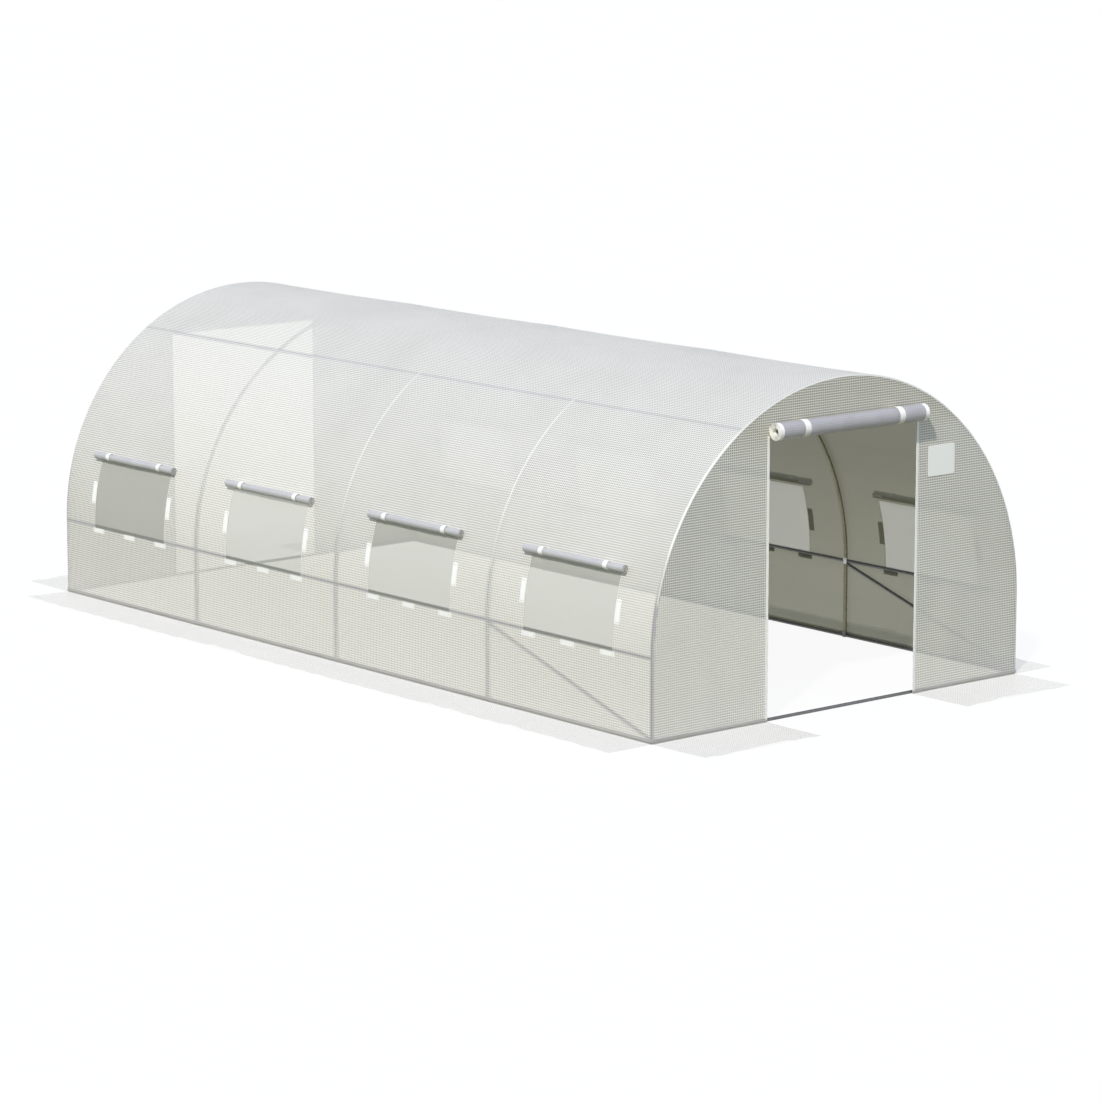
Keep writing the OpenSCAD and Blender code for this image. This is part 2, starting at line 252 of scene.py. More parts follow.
def ramp(value, start, stop):
    """0 before start, 1 past stop and a straight line between; start may be above stop."""
    return np.clip((value - start) / (stop - start), 0, 1)


def stacked(*parts):
    """Arrays of coordinates brought to one shape and put side by side."""
    return np.stack(np.broadcast_arrays(*parts), -1)


def run_along(points):
    """Length along a row of points, from the first one."""
    return np.concatenate([[0], np.cumsum(np.linalg.norm(np.diff(points, axis=0), axis=1))])


def grid_faces(rows, columns, keep=None, loop=False):
    """Quads of a grid of points, each from a point to the next in its row and in its column.

    keep says which quads stay, and loop joins the last column to the first.
    """
    i, j = np.meshgrid(np.arange(rows - 1), np.arange(columns if loop else columns - 1), indexing="ij")
    k = (j + 1) % columns
    faces = np.stack([i * columns + j, i * columns + k, (i + 1) * columns + k, (i + 1) * columns + j], -1)
    return faces[keep] if keep is not None else faces.reshape(-1, 4)


def surface(points, u, v, keep=None, flip=False):
    """A grid of points as a shape, with its two parameters as map coordinates; flip turns its faces over."""
    faces = grid_faces(*points.shape[:2], keep)
    return points.reshape(-1, 3), faces[:, ::-1] if flip else faces, stacked(u, v).reshape(-1, 2)


def carried(profile, origin, across, up, along, around):
    """A closed profile carried along a path: each profile point is origin + first * across + second * up.

    The two ends are closed by quads from each point of the profile's first half to its partner in the second.
    """
    profile = np.broadcast_to(profile, (len(origin),) + profile.shape[-2:])
    points = origin[:, None] + profile[..., :1] * across[:, None] + profile[..., 1:] * up[:, None]
    rows, count = points.shape[:2]
    i = np.arange(count // 2 - 1)
    cap = np.stack([i, i + 1, count - 2 - i, count - 1 - i], -1)
    faces = np.concatenate([grid_faces(rows, count, loop=True), cap, cap[:, ::-1] + (rows - 1) * count])
    return points.reshape(-1, 3), faces, stacked(along[:, None], around).reshape(-1, 2)


def pillow(width, height, depth, rows=15, columns=28, square=0.18):
    """A flat block with rounded edges, a superellipsoid: grids of places across, up and out, and its quads.

    Each row is a ring whose cosine and sine are raised to a low power, and the rings shrink towards both
    ends by a superellipse with the same power.
    """
    level = np.sin(np.linspace(-np.pi / 2, np.pi / 2, rows))[:, None]
    shrink = np.clip(1 - np.abs(level) ** (2 / square), 0, 1) ** (square / 2)
    turn = np.linspace(-np.pi, np.pi, columns, endpoint=False)
    ring = np.stack([np.cos(turn), np.sin(turn)])
    ring = np.sign(ring) * np.abs(ring) ** square
    across = shrink * ring[0] * width / 2
    out = shrink * ring[1] * depth / 2
    up = np.broadcast_to(level * height / 2, across.shape)
    return across, up, out, grid_faces(rows, columns, loop=True)


def block(place, width, height, depth, **form):
    """A flat rounded block that faces the front, with its middle at place."""
    across, up, out, faces = pillow(width, height, depth, **form)
    points = stacked(place[0] + across, place[1] + out, place[2] + up)
    return points.reshape(-1, 3), faces, stacked(across, up).reshape(-1, 2)


def mirrored(shape, axis=0):
    """The same shape on the other side, with its faces turned so that they still point outwards."""
    points, faces, chart = shape
    sign = np.ones(3)
    sign[axis] = -1
    return points * sign, faces[:, ::-1], chart


def joined(shapes):
    """Several shapes as one."""
    starts = np.cumsum([0] + [len(points) for points, _, _ in shapes[:-1]])
    points, faces, charts = zip(*shapes)
    faces = [quads + start for quads, start in zip(faces, starts)]
    return np.concatenate(points), np.concatenate(faces), np.concatenate(charts)


def make(name, shape, material, stands_for=(), closed=True, marks=None):
    """Put a shape into a mesh object that rides on the frame.

    A closed shape has its poles merged and its faces set outwards, and marks are values at the points.
    """
    points, faces, chart = shape
    mesh = bpy.data.meshes.new(name)
    mesh.vertices.add(len(points))
    mesh.vertices.foreach_set("co", points.astype(np.float32).ravel())
    mesh.loops.add(faces.size)
    mesh.loops.foreach_set("vertex_index", faces.astype(np.int32).ravel())
    mesh.polygons.add(len(faces))
    mesh.polygons.foreach_set("loop_start", np.arange(0, faces.size, 4, dtype=np.int32))
    mesh.polygons.foreach_set("loop_total", np.full(len(faces), 4, dtype=np.int32))
    mesh.update(calc_edges=True)
    layer = mesh.uv_layers.new(name="UVMap")
    layer.data.foreach_set("uv", chart[faces.ravel()].astype(np.float32).ravel())
    if closed:
        shell = bmesh.new()
        shell.from_mesh(mesh)
        bmesh.ops.remove_doubles(shell, verts=shell.verts, dist=1e-6)
        bmesh.ops.recalc_face_normals(shell, faces=shell.faces)
        shell.to_mesh(mesh)
        shell.free()
    for key, values in (marks or {}).items():
        layer = mesh.attributes.new(key, "FLOAT", "POINT")
        layer.data.foreach_set("value", values.astype(np.float32).ravel())
    mesh.polygons.foreach_set("use_smooth", np.ones(len(mesh.polygons), dtype=bool))
    mesh.set_sharp_from_angle(angle=SHARP)
    mesh.materials.append(material)
    piece = bpy.data.objects.new(name, mesh)
    bpy.context.scene.collection.objects.link(piece)
    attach(piece, "root")
    if stands_for:
        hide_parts(*stands_for)
    return piece


# The tight foil, which every fitting lies on


def bow(t, supports):
    """A parabola of height 1 between neighbouring supports, 0 on each of them."""
    k = np.clip(np.searchsorted(supports, t, side="right") - 1, 0, len(supports) - 2)
    f = (t - supports[k]) / (supports[k + 1] - supports[k])
    return np.clip(4 * f * (1 - f), 0, 1)


def arch_section(s):
    """Point and outward normal at length s from the left ground line: a leg, a half circle and a leg."""
    turn = np.clip((s - LEG_TOP) / RADIUS, 0, np.pi)
    fall = np.clip(s - LEG_TOP - np.pi * RADIUS, 0, None)
    z = np.minimum(s, LEG_TOP) + RADIUS * np.sin(turn) - fall
    return -RADIUS * np.cos(turn), z, -np.cos(turn), np.sin(turn)


def on_foil(y, s, lift=0.0):
    """Points on the foil at place y along the tunnel and length s up the arch, moved out by lift.

    Between hoops and rails it is drawn in by the product of two parabolas, a quarter as much on the legs.
    """
    x, z, nx, nz = arch_section(s)
    ease = np.where(np.minimum(s, CLOTH_LENGTH - s) < LEG_TOP, 0.25, 1)
    out = lift - bpy.context.scene.tunnel_cover.sag * bow(y, HOOPS) * bow(s, RAILS) * ease
    return stacked(x + nx * out, y, z + nz * out)


def tape_on_foil(y, s, width, height):
    """A tape laid on the foil: a flat rounded block bent to the foil's shape, its back just clear of it."""
    across, up, out, faces = pillow(width, height, HOOK_TAPE, square=0.13)
    points = on_foil(y + across, s + up, out + HOOK_TAPE * 0.62)
    return points.reshape(-1, 3), faces, stacked(across / width, up / height).reshape(-1, 2)


# Rolled sheets and their straps


class Seat(NamedTuple):
    """Where a roll lies: its middle, the ways out from the wall and up it, and the way along the roll."""
    middle: np.ndarray
    out: np.ndarray
    up: np.ndarray
    along: np.ndarray


def scroll_profile(radius, core, turns, thickness, tail, steps):
    """Section of a rolled sheet, with the length along the sheet at each point.

    A straight tail up the wall runs into a spiral whose radius falls evenly with the angle. First is the
    distance away from the wall and second the height; the outer face comes first, then the inner one back.
    """
    angle = np.linspace(0, 2 * np.pi * turns, steps * turns + 1)
    rise = np.linspace(tail, 0, 5)[:-1]

    def face(depth):
        """The tail and the spiral at a depth below the sheet's outer face."""
        r = radius - (radius - core) * angle / angle[-1] - depth
        straight = np.stack([np.full(len(rise), depth - radius), rise], -1)
        return np.concatenate([straight, np.stack([-r * np.cos(angle), -r * np.sin(angle)], -1)])

    outer = face(0.0)
    along = run_along(outer)
    return np.concatenate([outer, face(thickness)[::-1]]), np.concatenate([along, along[::-1]])


def rolled(profile, run, half, seat, strap_place, seed):
    """A rolled sheet: its spiral section carried along the roll, drawn in at the straps and a little uneven.

    The section is scaled from its line on the wall, by 1 less a bell curve at each strap plus two sine waves.
    """
    t = np.linspace(-half, half, 49)
    squeeze = np.exp(-((np.abs(t) - strap_place) / PINCH_REACH) ** 2)
    phase = np.random.default_rng(seed).uniform(0, FULL_TURN, 2)
    swell = 0.02 * np.sin(9 * t + phase[0]) + 0.015 * np.sin(23 * t + phase[1])
    scale = 1 - PINCH * squeeze + swell * ramp(np.abs(t), half, half - 0.03)
    section = profile * scale[:, None, None]
    section[..., 0] += profile[:, 0].min() * (1 - scale[:, None])
    origin = seat.middle + t[:, None] * seat.along
    out, up = np.broadcast_to(seat.out, origin.shape), np.broadcast_to(seat.up, origin.shape)
    return carried(section, origin, out, up, t, run)


def strap(radius, width, thickness, seat, shift):
    """A strap round a roll: a flat section carried along an arc that starts and ends behind the roll."""
    angle = np.radians(np.linspace(160, -160, 45))
    # The strap sits where it has drawn the roll in
    r = radius * 0.93 + thickness * 0.6
    route = np.stack([r * np.cos(angle), r * np.sin(angle)], -1) - [radius - r, 0]
    way = np.gradient(route, axis=0)
    way /= np.linalg.norm(way, axis=1, keepdims=True)
    place = seat.middle + shift * seat.along + route[:, :1] * seat.out + route[:, 1:] * seat.up
    outward = way[:, :1] * seat.up - way[:, 1:] * seat.out
    side = np.linspace(-1, 1, 7)
    front = np.stack([side * width / 2, thickness * (1 - 0.75 * side ** 6) / 2], -1)
    section = np.concatenate([front, front[::-1] * [1, -1]])
    axis = np.broadcast_to(seat.along, place.shape)
    return carried(section, place, axis, outward, run_along(route), section[:, 0])


# Materials
COLOURS = {"data_type": "RGBA"}


def add(tree, kind, settings=None, **sockets):
    """Add a node: settings are its properties, and sockets its inputs by name or _number, as values or links.

    A word after the kind is the node's operation.
    """
    kind, *operation = kind.split()
    node = tree.nodes.new("ShaderNode" + kind)
    for word in operation:
        node.operation = word
    for key, value in (settings or {}).items():
        setattr(node, key, value)
    for key, value in sockets.items():
        socket = node.inputs[int(key[1:]) if key[0] == "_" else key.replace("_", " ")]
        if isinstance(value, bpy.types.Node):
            value = next(output for output in value.outputs if output.enabled)
        if isinstance(value, bpy.types.NodeSocket):
            tree.links.new(value, socket)
        else:
            socket.default_value = value
    return node


def blank(name):
    """A new material and its node tree, emptied."""
    material = bpy.data.materials.new(name)
    material.use_nodes = True
    material.node_tree.nodes.clear()
    return material, material.node_tree


def rgba(value, factor=1.0):
    """A linear colour with full alpha, made darker or lighter by a factor."""
    return (*(min(1.0, c * factor) for c in value), 1.0)


def repeats(millimetres):
    """Repeats in a metre of a pattern whose real size is given in millimetres."""
    return 1000 / millimetres


def threads(tree, pitch, width):
    """A square grid on the piece's map: 1 on a thread and 0 between; pitch in mm, width as its share."""
    chart = add(tree, "SeparateXYZ", _0=add(tree, "UVMap", {"uv_map": "UVMap"}))
    lines = []
    for axis in ("X", "Y"):
        count = add(tree, "Math MULTIPLY", _0=chart.outputs[axis], _1=repeats(pitch))
        fold = add(tree, "Math PINGPONG", _0=count, _1=0.5)
        lines.append(add(tree, "MapRange", {"interpolation_type": "SMOOTHSTEP"}, Value=fold,
                         From_Min=width * 0.75, From_Max=width * 0.25))
    return add(tree, "Math MAXIMUM", _0=lines[0], _1=lines[1])


def brace_shade(tree):
    """Painted shade on the arch foil along a front brace behind it: most on the line from the brace's foot to
    its head.
    """
    slope = (BRACE_HIGH.z - BRACE_LOW.z - 2 * BRACE_RADIUS) / (BRACE_HIGH.y - BRACE_LOW.y)
    foot = BRACE_LOW.z + BRACE_RADIUS - slope * BRACE_LOW.y
    chart = add(tree, "SeparateXYZ", _0=add(tree, "UVMap", {"uv_map": "UVMap"}))
    reach = add(tree, "Math PINGPONG", _0=chart.outputs["Y"], _1=CLOTH_LENGTH / 2)
    level = add(tree, "Math MULTIPLY_ADD", _0=chart.outputs["X"], _1=slope, _2=foot)
    off = add(tree, "Math SUBTRACT", _0=reach, _1=level)
    off = add(tree, "Math ABSOLUTE", _0=off)
    near = add(tree, "MapRange", Value=off, From_Min=0.02, From_Max=0.006, To_Max=0.55)
    bay = add(tree, "Math LESS_THAN", _0=chart.outputs["X"], _1=BRACE_HIGH.y)
    return add(tree, "Math MULTIPLY", _0=near, _1=bay)


def reinforced_foil(name, cover, film, clear_tint, film_cover, thread_cover, on_braces=False):
    """Reinforced polyethylene foil: clear film on both sides of a square thread grid.

    The eye sees a milky sheet with a fine grid, faintly uneven, that lets the frame behind show through, with
    soft grey lines of painted shade where tubes lie behind it and white lines of painted highlight over the
    hoops. The real threads stand 7 mm apart; they are drawn wider apart so that they show.
    """
    material, tree = blank(name)
    place = add(tree, "TexCoord").outputs["Object"]
    grid = threads(tree, cover.thread_pitch * 1000, cover.thread_width)
    taut = add(tree, "Attribute", {"attribute_name": "taut"}).outputs["Fac"]
    tube_shade = add(tree, "Attribute", {"attribute_name": "tube_shade"}).outputs["Fac"]
    header = add(tree, "Attribute", {"attribute_name": "header"}).outputs["Fac"]
    # Painted shade along the front braces too
    if on_braces:
        tube_shade = add(tree, "Math MAXIMUM", _0=tube_shade, _1=brace_shade(tree))

    # Outer face: film and threads, with painted shade, greyer, where tubes lie behind it and a painted
    # highlight, white, over the hoops
    cloud = add(tree, "TexNoise", Vector=place, Scale=repeats(454.5), Detail=4.0, Roughness=0.55)
    uneven = add(tree, "MapRange", Value=cloud, From_Min=0.3, From_Max=0.7, To_Min=-0.03, To_Max=0.03)
    stops = add(tree, "MapRange", Value=grid, To_Min=film_cover, To_Max=thread_cover)
    stops = add(tree, "Math ADD", {"use_clamp": True}, _0=stops, _1=uneven)
    # Painted highlight: over the hoops the foil is drawn more opaque and white
    stops = add(tree, "Math MAXIMUM", _0=stops, _1=taut)
    # Painted shade where tubes lie behind the foil
    shows = add(tree, "Math MULTIPLY", _0=tube_shade, _1=0.45)
    tint = add(tree, "Mix", COLOURS, _0=grid, _6=rgba(film), _7=rgba(cover.thread))
    tint = add(tree, "Mix", COLOURS, _0=shows, _6=tint, _7=rgba(cover.tube_shade))
    tint = add(tree, "Mix", COLOURS, _0=taut, _6=tint, _7=rgba(cover.taut))
    # Painted shade: the foil is drawn darker over the doorways
    tint = add(tree, "Mix", {"blend_type": "MULTIPLY", **COLOURS}, _0=header, _6=tint, _7=rgba(cover.header))

    # Inner face: painted shade, darker high up than near the ground, and a low band of painted shade where it
    # stops more light
    inside = add(tree, "NewGeometry").outputs["Backfacing"]
    height = add(tree, "SeparateXYZ", _0=place).outputs["Z"]
    rise = add(tree, "MapRange", Value=height, From_Min=INNER_LOW, From_Max=INNER_HIGH)
    inner_shade = add(tree, "Mix", COLOURS, _0=rise, _6=rgba(cover.inner_low), _7=rgba(cover.inner))
    # Painted shade: the low band at the ground
    band = add(tree, "MapRange", Value=height, From_Min=cover.band + BAND_EDGE,
               From_Max=cover.band - BAND_EDGE, To_Max=cover.band_cover)
    dims = add(tree, "MapRange", Value=rise, To_Min=cover.inner_low_cover, To_Max=cover.inner_cover)
    dims = add(tree, "Math ADD", _0=dims, _1=band)
    tint = add(tree, "Mix", COLOURS, _0=inside, _6=tint, _7=inner_shade)
    stops = add(tree, "MapRange", Value=inside, To_Min=stops, To_Max=dims)

    relief = add(tree, "Bump", Strength=0.25, Distance=0.001, Height=grid)
    face = add(tree, "BsdfPrincipled", Base_Color=tint, Roughness=0.36, IOR=1.51, Normal=relief)
    glow = add(tree, "BsdfTranslucent", Color=tint)
    sheet = add(tree, "MixShader", _0=cover.glow, _1=face, _2=glow)
    clear = add(tree, "BsdfTransparent", Color=rgba(clear_tint))
    add(tree, "OutputMaterial", Surface=add(tree, "MixShader", _0=stops, _1=clear, _2=sheet))
    return material


def insect_net(window):
    """Woven insect net of thin polyethylene yarn: a soft grey veil.

    Its 1.5 mm holes are drawn at 5 mm so that they show, and it carries painted shade where it lies on the mid
    rail.
    """
    material, tree = blank("woven_insect_net")
    stops = add(tree, "MapRange", Value=threads(tree, 5, 0.5), To_Min=0.48, To_Max=0.82)
    reach = add(tree, "SeparateXYZ", _0=add(tree, "UVMap", {"uv_map": "UVMap"})).outputs["Y"]
    # Painted shade: the yarn is drawn darker over the mid rail
    rail_shade = add(tree, "MapRange", Value=reach, From_Min=LEG_TOP + 0.014, From_Max=LEG_TOP + 0.009)
    tint = add(tree, "Mix", COLOURS, _0=rail_shade, _6=rgba(window.net), _7=rgba(window.net, 0.6))
    yarn = add(tree, "BsdfPrincipled", Base_Color=tint, Roughness=0.7, IOR=1.5)
    glow = add(tree, "BsdfTranslucent", Color=tint)
    veil = add(tree, "MixShader", _0=0.18, _1=yarn, _2=glow)
    clear = add(tree, "BsdfTransparent", Color=rgba(linear("#fffff6")))
    add(tree, "OutputMaterial", Surface=add(tree, "MixShader", _0=stops, _1=clear, _2=veil))
    return material


def rolled_foil(name, cover, tint, hem_colour, half, hem):
    """Many layers of the same foil: cooler, greyer and no longer see-through, with soft creases along them.

    Where hem isn't 0, a white sewn hem of that width shows at both ends.
    """
    material, tree = blank(name)
    place = add(tree, "TexCoord").outputs["Object"]
    cloud = add(tree, "TexNoise", Vector=place, Scale=repeats(71.43), Detail=4.0)
    shade = add(tree, "Mix", COLOURS, _0=cloud, _6=rgba(tint, 0.86), _7=rgba(tint, 1.1))
    grid = threads(tree, cover.thread_pitch * 1000, cover.thread_width)
    faint = add(tree, "MapRange", Value=grid, To_Max=0.2)
    shade = add(tree, "Mix", COLOURS, _0=faint, _6=shade, _7=rgba(cover.thread))
    chart = add(tree, "SeparateXYZ", _0=add(tree, "UVMap", {"uv_map": "UVMap"}))
    away = add(tree, "Math ABSOLUTE", _0=chart.outputs["X"])
    edge = add(tree, "MapRange", Value=away, From_Min=half - hem, From_Max=half - hem + 0.002)
    shade = add(tree, "Mix", COLOURS, _0=edge, _6=shade, _7=rgba(hem_colour))
    flat = add(tree, "Mapping", _0=place, Scale=(repeats(166.7), repeats(166.7), repeats(25)))
    creases = add(tree, "TexNoise", Vector=flat, Scale=1.0, Detail=3.0)
    relief = add(tree, "Bump", Strength=0.35, Distance=0.004, Height=creases)
    face = add(tree, "BsdfPrincipled", Base_Color=shade, Roughness=0.4, IOR=1.51, Normal=relief)
    add(tree, "OutputMaterial", Surface=face)
    return material


def woven_tape(door):
    """Woven polyester tape: bright white and matt, with a fine weave, drawn at 4 mm so that it shows."""
    material, tree = blank("woven_polyester_tape")
    weave = threads(tree, 4, 0.5)
    shade = add(tree, "Mix", COLOURS, _0=weave, _6=rgba(door.tape, 0.94), _7=rgba(door.tape))
    relief = add(tree, "Bump", Strength=0.4, Distance=0.0006, Height=weave)
    face = add(tree, "BsdfPrincipled", Base_Color=shade, Roughness=0.75, IOR=1.5, Normal=relief)
    add(tree, "OutputMaterial", Surface=face)
    return material


def stitched_tape(door):
    """The same tape cut to patches and sewn on, with a stitch every 8 mm all round inside its edges."""
    material, tree = blank("stitched_polyester_tape")
    chart = add(tree, "SeparateXYZ", _0=add(tree, "UVMap", {"uv_map": "UVMap"}))
    sides = [add(tree, "Math ABSOLUTE", _0=chart.outputs[axis]) for axis in ("X", "Y")]
    edge = add(tree, "Math MAXIMUM", _0=sides[0], _1=sides[1])
    off = add(tree, "Math SUBTRACT", _0=edge, _1=0.41)
    off = add(tree, "Math ABSOLUTE", _0=off)
    seam = add(tree, "MapRange", Value=off, From_Min=0.03, From_Max=0.015)
    place = add(tree, "SeparateXYZ", _0=add(tree, "TexCoord").outputs["Object"])
    run = add(tree, "Math ADD", _0=place.outputs["Y"], _1=place.outputs["Z"])
    run = add(tree, "Math MULTIPLY", _0=run, _1=repeats(8))
    dash = add(tree, "Math PINGPONG", _0=run, _1=0.5)
    dash = add(tree, "MapRange", Value=dash, From_Min=0.1, From_Max=0.2)
    stitch = add(tree, "Math MULTIPLY", _0=seam, _1=dash)
    rib = add(tree, "Math MULTIPLY", _0=place.outputs["Z"], _1=repeats(4))
    rib = add(tree, "Math PINGPONG", _0=rib, _1=0.5)
    shade = add(tree, "Mix", COLOURS, _0=rib, _6=rgba(door.tape), _7=rgba(door.tape, 0.95))
    shade = add(tree, "Mix", COLOURS, _0=stitch, _6=shade, _7=rgba(door.tape, 0.74))
    height = add(tree, "Math SUBTRACT", _0=rib, _1=stitch)
    relief = add(tree, "Bump", Strength=0.4, Distance=0.0008, Height=height)
    face = add(tree, "BsdfPrincipled", Base_Color=shade, Roughness=0.75, IOR=1.5, Normal=relief)
    add(tree, "OutputMaterial", Surface=face)
    return material


def zinc_on_steel(name, tint, roughness):
    """Zinc coated steel: dull grey with a soft spangle of about 9 mm, glossier in some places than others."""
    material, tree = blank(name)
    place = add(tree, "TexCoord").outputs["Object"]
    spangle = add(tree, "TexVoronoi", Vector=place, Scale=repeats(9.091))
    flake = add(tree, "SeparateColor", _0=spangle.outputs["Color"])
    shade = add(tree, "Mix", COLOURS, _0=flake, _6=rgba(tint, 0.85), _7=rgba(tint, 1.15))
    streak = add(tree, "TexNoise", Vector=place, Scale=repeats(200), Detail=5.0)
    gloss = add(tree, "MapRange", Value=streak, From_Min=0.3, From_Max=0.7, To_Min=roughness - 0.08,
                To_Max=roughness + 0.12)
    relief = add(tree, "Bump", Strength=0.08, Distance=0.0005, Height=streak)
    face = add(tree, "BsdfPrincipled", Base_Color=shade, Metallic=0.6, Roughness=gloss, Normal=relief)
    add(tree, "OutputMaterial", Surface=face)
    return material


def satin_film(door):
    """Smooth satin white film with a faint grain of about 17 mm."""
    material, tree = blank("satin_film_patch")
    place = add(tree, "TexCoord").outputs["Object"]
    grain = add(tree, "TexNoise", Vector=place, Scale=repeats(16.67), Detail=3.0)
    shade = add(tree, "Mix", COLOURS, _0=grain, _6=rgba(door.tape, 0.96), _7=rgba(door.tape))
    face = add(tree, "BsdfPrincipled", Base_Color=shade, Roughness=0.45, IOR=1.5)
    add(tree, "OutputMaterial", Surface=face)
    return material


class TUNNEL_OT_frame(Operator):
    """Give the tubes and clips of the frame their zinc finish"""
    bl_idname = "tunnel.frame"
    bl_label = "Frame"

    def execute(self, context):
        settings = context.scene.tunnel_frame
        # The hoops and rails share one zinc coat, drawn as a lit olive copy and a shaded grey copy
        hoop = zinc_on_steel("galvanised_steel_hoop", settings.hoop, 0.42)
        rail = zinc_on_steel("galvanised_steel_rail", settings.rail, 0.42)
        clip = zinc_on_steel("zinc_plated_clip", settings.clip, 0.3)
        finishes = {
            ("hoop_",): hoop,
            ("_rail", "_purlin", "_braces", "base_clips"): rail,
            ("mid_rail_clips", "purlin_clips"): clip,
        }
        for name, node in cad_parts.items():
            for words, finish in finishes.items():
                if name.startswith(words) or name.endswith(words):
                    node.data.materials.clear()
                    node.data.materials.append(finish)
        return {"FINISHED"}


class TUNNEL_OT_cover(Operator):
    """Make the arch cover with its window openings and the two end walls with their doorways"""
    bl_idname = "tunnel.cover"
    bl_label = "Cover"

    def lines(self, cover, window):
        """Places of the arch's grid lines along the tunnel and up the arch, close together by the tubes."""
        flat = HALF_LENGTH - cover.fold
        half = window.width / 2
        by_hoop, by_end = np.array([0, 0.0065, 0.0105, 0.016, 0.024]), np.array([0.014, 0.018])
        by_rail, by_ground = np.array([0.009, 0.013]), np.array([0.012, 0.018])
        hoops, rails = HOOPS[1:-1, None], RAILS[1:-1, None]
        edges = np.array([SILL, LEG_TOP + window.rise])
        y = [np.linspace(-flat, flat, 145), BAYS - half, BAYS + half, (hoops - by_hoop).ravel(),
             (hoops + by_hoop).ravel(), by_end - HALF_LENGTH, HALF_LENGTH - by_end]
        s = [np.linspace(0, CLOTH_LENGTH, 181), edges, CLOTH_LENGTH - edges, RAILS, (rails - by_rail).ravel(),
             (rails + by_rail).ravel(), by_ground, CLOTH_LENGTH - by_ground]
        y, s = (np.unique(np.round(np.concatenate(lines), 5)) for lines in (y, s))
        bend = flat + cover.fold * np.sin(np.radians(np.linspace(15, 90, 6)))
        return np.concatenate([-bend[::-1], y, bend]), s

    def marks(self, cover, y, s):
        """Painted highlight over the hoops and painted shade along the tubes behind the foil, from 0 to 1.

        Both are products and sums of straight ramps of the distance from a hoop, a rail or the ground.
        """
        flat = HALF_LENGTH - cover.fold
        from_hoop = np.abs(y[:, None] - HOOPS).min(1)
        reach = np.minimum(s, CLOTH_LENGTH - s)
        over = np.where(np.abs(y) > flat, 1, ramp(from_hoop, 0.0085, 0.0045))
        # The painted highlight is fainter on the fourth hoop
        over[np.abs(y - HOOPS[3]) < 0.05] *= 0.3
        shoulder = ramp(reach, LEG_TOP + 0.3, LEG_TOP + 0.65)
        haunch = ramp(reach, PURLIN_LENGTH + 0.1, PURLIN_LENGTH - 0.15)
        at_end = np.abs(y)[:, None] > flat - 0.02
        # The painted highlight runs from above the mid rail to about the purlin, and at the ends it goes on,
        # fainter, over the top
        taut = over[:, None] * shoulder * np.where(at_end, 0.4 + 0.6 * haunch, haunch)
        # Painted shade where the foil lies on the mid rail, the base rail, the purlin and the hoop legs
        rail = 0.75 * ramp(np.abs(reach - LEG_TOP), 0.013, 0.009) + 0.6 * ramp(reach, 0.018, 0.012)
        rail += 0.45 * ramp(np.abs(reach - PURLIN_LENGTH), 0.013, 0.009)
        end_leg, leg = ramp(from_hoop, 0.018, 0.014), 0.4 * ramp(from_hoop, 0.02, 0.01)
        leg = np.where(np.abs(y) > flat - 0.03, end_leg, leg)
        tube_shade = np.maximum(rail, leg[:, None] * (1 - shoulder))
        return {"taut": taut, "tube_shade": np.where(taut > 0.01, 0, tube_shade)}

    def arch(self, cover, window):
        """The arch sheet: place along by length up the arch, its ends bent in by quarter circles."""
        y, s = self.lines(cover, window)
        past = np.clip(np.abs(y) - HALF_LENGTH + cover.fold, 0, None)
        drop = np.sqrt(np.clip(cover.fold ** 2 - past ** 2, 0, None)) - cover.fold
        points = on_foil(y[:, None], s[None, :], drop[:, None])
        middle_y, middle_s = (y[:-1] + y[1:]) / 2, (s[:-1] + s[1:]) / 2
        reach = np.minimum(middle_s, CLOTH_LENGTH - middle_s)
        within = (np.abs(middle_y[:, None] - BAYS) < window.width / 2).any(1)
        hole = within[:, None] & (reach > SILL) & (reach < LEG_TOP + window.rise)
        return surface(points, y[:, None], s[None, :], keep=~hole), self.marks(cover, y, s)

    def end_wall(self, cover):
        """The front wall: columns across, each divided between the ground, or the doorway, and the arch.

        Beside the doorway it sinks in by the square of a sine, and low down it is creased by another sine.
        Over the doorway it is marked for painted shade, a little darker there.
        """
        rim = RADIUS - cover.fold
        side = np.linspace(DOOR_HALF, rim * 0.97, 26)
        side = np.concatenate([side, rim * np.sin(np.linspace(np.arcsin(0.97), np.pi / 2, 10))[1:]])
        x = np.concatenate([-side[::-1], np.linspace(-DOOR_HALF, DOOR_HALF, 37)[1:-1], side])
        head = DOOR_TOP / (LEG_TOP + math.sqrt(rim ** 2 - DOOR_HALF ** 2))
        part = np.concatenate([np.linspace(0, head, 45), np.linspace(head, 1, 9)[1:]])
        between = np.abs(x[:-1] + x[1:]) / 2 < DOOR_HALF
        doorway = between[:, None] & ((part[:-1] + part[1:]) / 2 < head)
        x = x[:, None]
        roof = LEG_TOP + np.sqrt(np.clip(rim ** 2 - x ** 2, 0, None))
        over = np.abs(x) < DOOR_HALF - 1e-6
        z = np.where(over, DOOR_TOP + ramp(part, head, 1) * (roof - DOOR_TOP), part * roof)
        loose = ramp(np.hypot(x, np.clip(z - LEG_TOP, 0, None)), rim, rim - 0.25)
        loose = loose * ramp(np.abs(x), DOOR_HALF, DOOR_HALF + 0.2)
        sink = cover.slack * np.sin(3.1 * z + 2 * x) ** 2
        crease = cover.crease * np.sin(26 * x + 3 * z) * np.exp(-((z - 0.1) / 0.6) ** 2)
        points = stacked(x, loose * (sink + crease) - HALF_LENGTH, z)
